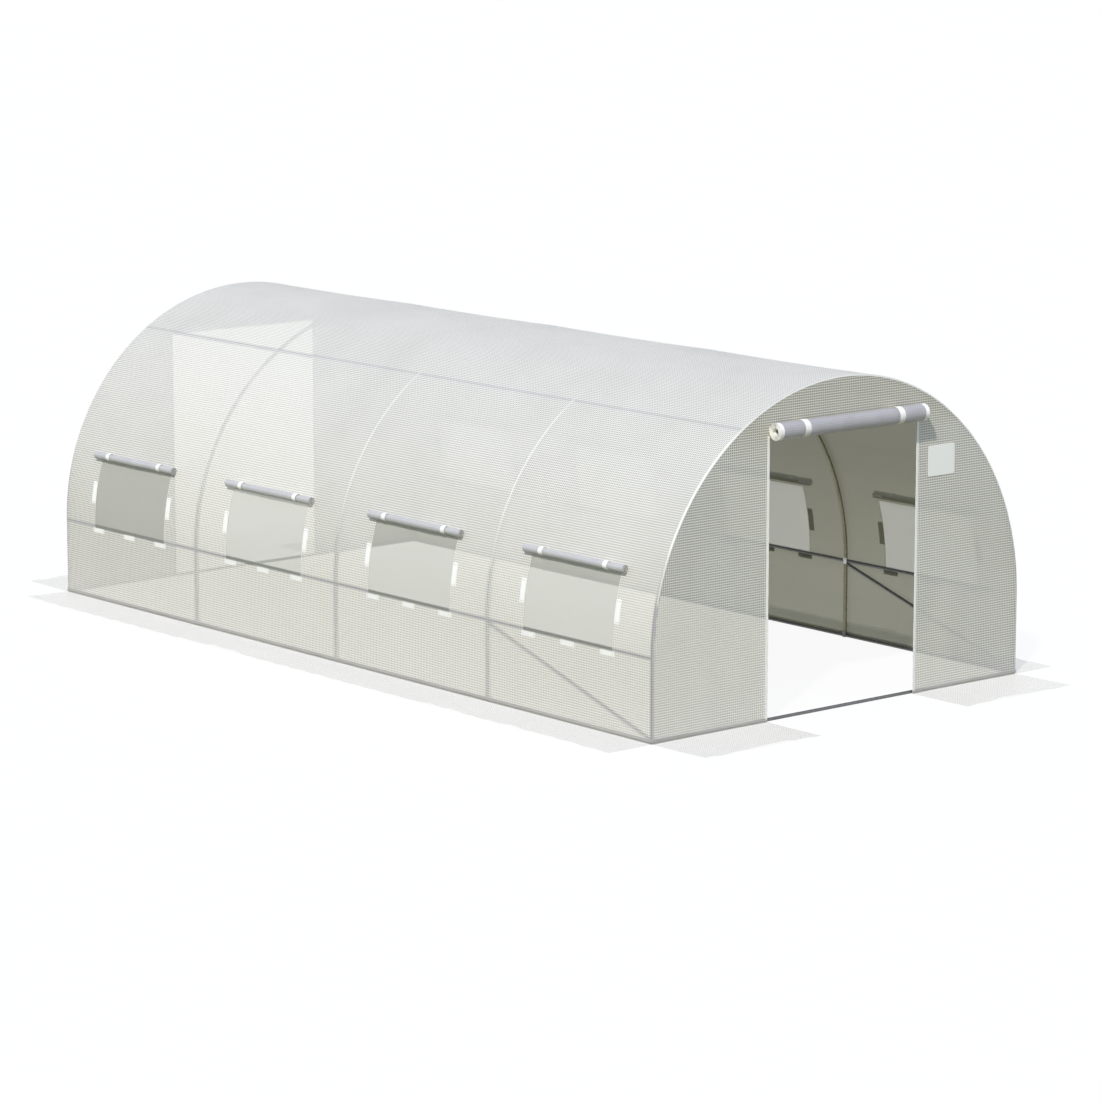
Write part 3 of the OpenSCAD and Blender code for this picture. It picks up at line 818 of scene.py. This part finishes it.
        # Painted shade over the doorway, fading in below the door's head
        header = ramp(z, DOOR_TOP - 0.1, DOOR_TOP + 0.05)
        return surface(points, x, z, keep=~doorway, flip=True), {"header": header}

    def execute(self, context):
        cover, window = context.scene.tunnel_cover, context.scene.tunnel_window
        foil = reinforced_foil("reinforced_foil_cover", cover, cover.film, cover.clear, cover.film_cover,
                               cover.thread_cover)
        wide = reinforced_foil("reinforced_foil_arch", cover, cover.arch_film, cover.clear, cover.arch_cover,
                               cover.thread_cover, on_braces=True)
        strips = [f"{side}_{strip}_cover" for side in ("left", "right")
                  for strip in ("lower", "window", "shoulder", "haunch", "crown")]
        shape, marks = self.arch(cover, window)
        arch = make("cover_arch", shape, wide, strips, closed=False, marks=marks)
        wall, marks = self.end_wall(cover)
        for end, shape, hoop in (("front", wall, HOOP_NODES[0]), ("rear", mirrored(wall, 1), HOOP_NODES[-1])):
            panels = [f"{end}_{part}_panel" for part in ("left", "right", "top")]
            piece = make(f"{end}_end_wall", shape, foil, panels, closed=False, marks=marks)
        return {"FINISHED"}


class TUNNEL_OT_flaps(Operator):
    """Make the ground flaps that lie beside the cover"""
    bl_idname = "tunnel.flaps"
    bl_label = "Ground flaps"

    def flap(self, settings, start, stop, width, seed):
        """A flap beside a wall, as places along it, distances out and heights.

        Its section runs down the wall, round a small bend and out. Its free edge lifts by the positive part
        of a sum of sines, which grows with the square of the distance out, and by a fine ripple.
        """
        t = np.linspace(start, stop, max(24, int((stop - start) / 0.03)))
        out = np.concatenate([[0.0, 0.0015, 0.006, 0.014, 0.026], np.linspace(0.045, width, 12)])
        high = np.concatenate([[0.03, 0.016, 0.007, 0.003, 0.0016], np.full(12, 0.0012)])
        phase = np.random.default_rng(seed).uniform(0, FULL_TURN, 4)
        sizes, speeds = (0.5, 0.35, 0.25, 0.2), (2.3, 5.9, 11.3, 23.0)
        wave = sum(a * np.sin(k * t + p) for a, k, p in zip(sizes, speeds, phase))
        far = out / out[-1]
        lift = settings.wave * np.clip(wave, 0, 1)[:, None] * far ** 2
        ripple = 0.004 * (np.sin(17 * t + phase[1])[:, None] * far) ** 2
        return t[:, None], out[None, :], high + lift + ripple

    def execute(self, context):
        cover, settings = context.scene.tunnel_cover, context.scene.tunnel_flap
        foil = reinforced_foil("reinforced_foil_flap", cover, cover.film, settings.clear, settings.film_cover,
                               settings.thread_cover)
        t, out, high = self.flap(settings, -HALF_LENGTH, HALF_LENGTH, SIDE_FLAP, seed=4)
        points = stacked(-RADIUS - FLAP_GAP - out * FLAP_TRIM, t, high)
        left = surface(points, t, out, flip=True)
        for side, shape in (("left", left), ("right", mirrored(left))):
            piece = make(f"{side}_ground_flap", shape, foil, [f"{side}_apron"], closed=False)
        t, out, high = self.flap(settings, DOOR_HALF, RADIUS, END_FLAP, seed=9)
        points = stacked(t, -HALF_LENGTH - FLAP_GAP - out * FLAP_TRIM, high)
        right = surface(points, t, out)
        pair = joined([right, mirrored(right)])
        for end, shape in (("front", pair), ("rear", mirrored(pair, 1))):
            piece = make(f"{end}_ground_flaps", shape, foil, [f"{end}_aprons"], closed=False)
        return {"FINISHED"}


class TUNNEL_OT_windows(Operator):
    """Make the window nets, the rolled flaps with their straps and the hook tapes"""
    bl_idname = "tunnel.windows"
    bl_label = "Windows"

    def net(self, window, y):
        """A net in one window: a grid on the foil's shape that bellies in by the product of two parabolas."""
        a, b = np.linspace(-1, 1, 21)[:, None], np.linspace(0, 1, 13)[None, :]
        across = y + a * (window.width / 2 + NET_LAP)
        s = SILL - NET_LAP + b * (LEG_TOP + window.rise - SILL + 2 * NET_LAP)
        belly = -0.0015 - 0.004 * (1 - a ** 2) * 4 * b * (1 - b)
        return surface(on_foil(across, s, belly), across, s)

    def tapes(self, window, y):
        """The hook tapes of one window: an upright one at each side and three flat ones under the sill."""
        away = window.width / 2 + NET_LAP + window.side_tape_width / 2
        upright = [tape_on_foil(y + side * away, LEG_TOP + window.side_tape_rise, window.side_tape_width,
                                window.side_tape_length) for side in (-1, 1)]
        below = SILL - window.sill_tape_height / 2
        return upright + [tape_on_foil(y + step * window.sill_tape_pitch, below, window.sill_tape_length,
                                       window.sill_tape_height) for step in (-1, 0, 1)]

    def execute(self, context):
        scene = context.scene
        cover, window, door = scene.tunnel_cover, scene.tunnel_window, scene.tunnel_door
        net_finish = insect_net(window)
        tape_finish, sewn_finish = woven_tape(door), stitched_tape(door)
        half = window.width / 2 + window.overhang
        foil = rolled_foil("rolled_foil_flap", cover, window.flap, door.tape, half, hem=0.0)
        profile, run = scroll_profile(window.roll_radius, window.roll_core, window.roll_turns, FLAP_SHEET,
                                      window.roll_tail, steps=20)
        place = np.array(LEG_TOP + window.rise + window.roll_lift)
        _, _, nx, nz = arch_section(place)
        nets, rolls, straps, tapes = [], [], [], []
        for i, y in enumerate(BAYS):
            nets.append(self.net(window, y))
            tapes += self.tapes(window, y)
            middle = on_foil(np.array(y), place, window.roll_radius + FLAP_ROLL_GAP)
            seat = Seat(middle, np.array([nx, 0, nz]), np.array([nz, 0, -nx]), np.array([0, 1, 0]))
            rolls.append(rolled(profile, run, half, seat, window.strap_place, seed=i))
            for shift in (-window.strap_place, window.strap_place):
                straps.append(strap(window.roll_radius, window.strap_width, FLAP_STRAP, seat, shift))
        left = [joined(shapes) for shapes in (nets, rolls, tapes)]
        right = [mirrored(shape) for shape in left]
        for side, (net, roll, tape) in (("left", left), ("right", right)):
            piece = make(f"{side}_nets", net, net_finish, [f"{side}_window_nets"], closed=False)
            piece = make(f"{side}_rolled_flaps", roll, foil, [f"{side}_window_rolls"])
            make(f"{side}_tapes", tape, sewn_finish, [f"{side}_hook_tapes"])
        straps = joined(straps)
        make("flap_straps", joined([straps, mirrored(straps)]), tape_finish, ["window_straps"])
        return {"FINISHED"}


class TUNNEL_OT_doors(Operator):
    """Make the rolled doors with their straps, the zips and the bare patch on the front wall"""
    bl_idname = "tunnel.doors"
    bl_label = "Doors"

    def zip(self, door):
        """Zip right of the front doorway: a flat tape and a row of teeth, each a small rounded block."""
        middle = (DOOR_HALF + door.zip_width / 2, -HALF_LENGTH - ZIP_OFF, (ZIP_HIGH.z + ZIP_LOW.z) / 2)
        tape = block(middle, door.zip_width, ZIP_HIGH.z - ZIP_LOW.z, ZIP_TAPE, rows=41)
        count = int((ZIP_HIGH.z - TEETH_END) / door.tooth_pitch)
        levels = ZIP_LOW.z + TEETH_START + door.tooth_pitch * np.arange(count)
        teeth = [block((DOOR_HALF + TOOTH_PLACE, -HALF_LENGTH - TOOTH_OFF, level), door.tooth_width,
                       door.tooth_pitch * 0.6, ZIP_TOOTH, rows=5, columns=8, square=0.5) for level in levels]
        return joined([tape] + teeth)

    def execute(self, context):
        cover, door = context.scene.tunnel_cover, context.scene.tunnel_door
        tape_finish = bpy.data.materials["woven_polyester_tape"]
        half = ROLL_HIGH.x
        radius = (ROLL_HIGH.y - ROLL_LOW.y) / 2
        foil = rolled_foil("rolled_foil_door", cover, door.sheet, door.tape, half, door.hem)
        profile, run = scroll_profile(radius, door.roll_core, door.roll_turns, DOOR_SHEET, door.roll_tail,
                                      steps=32)
        middle = np.array([0, -HALF_LENGTH - radius - DOOR_ROLL_GAP, ROLL_LOW.z + radius])
        seat = Seat(middle, np.array([0, -1, 0]), np.array([0, 0, 1]), np.array([1, 0, 0]))
        roll = rolled(profile, run, half, seat, door.strap_place, seed=21)
        straps = joined([strap(radius, door.strap_width, DOOR_STRAP, seat, shift)
                         for shift in (-door.strap_place, door.strap_place)])
        for end, shape in (("front", roll), ("rear", mirrored(roll, 1))):
            piece = make(f"{end}_rolled_door", shape, foil, [f"{end}_door_roll"])
        make("roll_straps", joined([straps, mirrored(straps, 1)]), tape_finish, ["door_straps"])
        zips = self.zip(door)
        zips = joined([zips, mirrored(zips)])
        make("zips", joined([zips, mirrored(zips, 1)]), tape_finish, ["door_zips"])
        patch = block((door.patch_across, -HALF_LENGTH - PATCH_OFF, door.patch_rise), door.patch_width,
                      door.patch_height, PATCH, rows=21, columns=40, square=0.12)
        make("bare_patch", patch, satin_film(door))
        return {"FINISHED"}


class TUNNEL_OT_stage(Operator):
    """Set the floor, the light and the camera"""
    bl_idname = "tunnel.stage"
    bl_label = "Stage"

    def seen_directly(self, tree):
        """1 where the eye, a gloss or a glass sees the stage, and 0 for light that falls on the tunnel."""
        path = add(tree, "LightPath")
        seen = add(tree, "Math MAXIMUM", _0=path.outputs["Is Camera Ray"], _1=path.outputs["Is Glossy Ray"])
        return add(tree, "Math MAXIMUM", _0=seen, _1=path.outputs["Is Transmission Ray"])

    def floor(self, context, stage):
        """A plain floor that looks white with a faint shadow, and throws back light of its own colour."""
        material, tree = blank("plain_studio_floor")
        seen = self.seen_directly(tree)
        matt = add(tree, "BsdfDiffuse", Color=rgba(stage.floor))
        pale = add(tree, "BsdfDiffuse", Color=(1, 1, 1, 1))
        white = add(tree, "Emission", Color=(1, 1, 1, 1), Strength=1.0)
        plain = add(tree, "MixShader", _0=1 - stage.shadow, _1=pale, _2=white)
        add(tree, "OutputMaterial", Surface=add(tree, "MixShader", _0=seen, _1=matt, _2=plain))
        mesh = bpy.data.meshes.new("floor")
        corners = [(-FLOOR, -FLOOR, 0), (FLOOR, -FLOOR, 0), (FLOOR, FLOOR, 0), (-FLOOR, FLOOR, 0)]
        mesh.from_pydata(corners, [], [(0, 1, 2, 3)])
        mesh.materials.append(material)
        floor = bpy.data.objects.new("floor", mesh)
        context.scene.collection.objects.link(floor)

    def sky(self, context, stage):
        """Soft light from all round, paler low down than overhead; the eye sees plain white."""
        world = bpy.data.worlds.new("studio_sky")
        context.scene.world = world
        world.use_nodes = True
        tree = world.node_tree
        tree.nodes.clear()
        seen = self.seen_directly(tree)
        up = add(tree, "SeparateXYZ", _0=add(tree, "TexCoord").outputs["Generated"]).outputs["Z"]
        tint = add(tree, "Mix", COLOURS, _0=up, _6=rgba(stage.horizon), _7=rgba(stage.sky))
        light = add(tree, "Background", Color=tint, Strength=1.0)
        white = add(tree, "Background", Color=(1, 1, 1, 1), Strength=1.0)
        mix = add(tree, "MixShader", _0=seen, _1=light, _2=white)
        add(tree, "OutputWorld", Surface=mix)

    def execute(self, context):
        stage = context.scene.tunnel_stage
        context.scene.view_settings.view_transform = "Standard"
        self.floor(context, stage)
        self.sky(context, stage)

        lamp = bpy.data.lights.new("key_light", "SUN")
        lamp.energy = stage.key_strength
        lamp.angle = stage.key_angle
        lamp.color = stage.key_colour
        light = bpy.data.objects.new("key_light", lamp)
        light.rotation_euler = stage.key_from.to_track_quat("Z", "Y").to_euler()
        context.scene.collection.objects.link(light)

        data = bpy.data.cameras.new("camera")
        data.lens = stage.lens
        data.sensor_width = 36
        data.clip_end = 200
        camera = bpy.data.objects.new("camera", data)
        camera.location = stage.place
        camera.rotation_euler = stage.turn
        context.scene.collection.objects.link(camera)
        context.scene.camera = camera
        return {"FINISHED"}


class TUNNEL_PT_panel(Panel):
    """Lists the tunnel's pieces and their settings"""
    bl_label = "Garden tunnel"
    bl_idname = "TUNNEL_PT_panel"
    bl_space_type = "VIEW_3D"
    bl_region_type = "UI"
    bl_category = "Tunnel"

    def draw(self, context):
        for operator, name, _ in STEPS:
            box = self.layout.box()
            box.operator(operator.bl_idname)
            settings = getattr(context.scene, name)
            for key in settings.__annotations__:
                box.prop(settings, key)


# Each step's operator, the name of its settings in the scene and their group
STEPS = [
    (TUNNEL_OT_stage, "tunnel_stage", StageSettings),
    (TUNNEL_OT_frame, "tunnel_frame", FrameSettings),
    (TUNNEL_OT_cover, "tunnel_cover", CoverSettings),
    (TUNNEL_OT_flaps, "tunnel_flap", FlapSettings),
    (TUNNEL_OT_windows, "tunnel_window", WindowSettings),
    (TUNNEL_OT_doors, "tunnel_door", DoorSettings),
]


def register():
    for operator, name, group in STEPS:
        bpy.utils.register_class(group)
        setattr(bpy.types.Scene, name, PointerProperty(type=group))
        bpy.utils.register_class(operator)
    bpy.utils.register_class(TUNNEL_PT_panel)


def unregister():
    bpy.utils.unregister_class(TUNNEL_PT_panel)
    for operator, name, group in reversed(STEPS):
        bpy.utils.unregister_class(operator)
        delattr(bpy.types.Scene, name)
        bpy.utils.unregister_class(group)


def main():
    """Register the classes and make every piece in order."""
    register()
    bpy.ops.tunnel.stage()
    bpy.ops.tunnel.frame()
    bpy.ops.tunnel.cover()
    bpy.ops.tunnel.flaps()
    bpy.ops.tunnel.windows()
    bpy.ops.tunnel.doors()


if __name__ == "__main__":
    main()
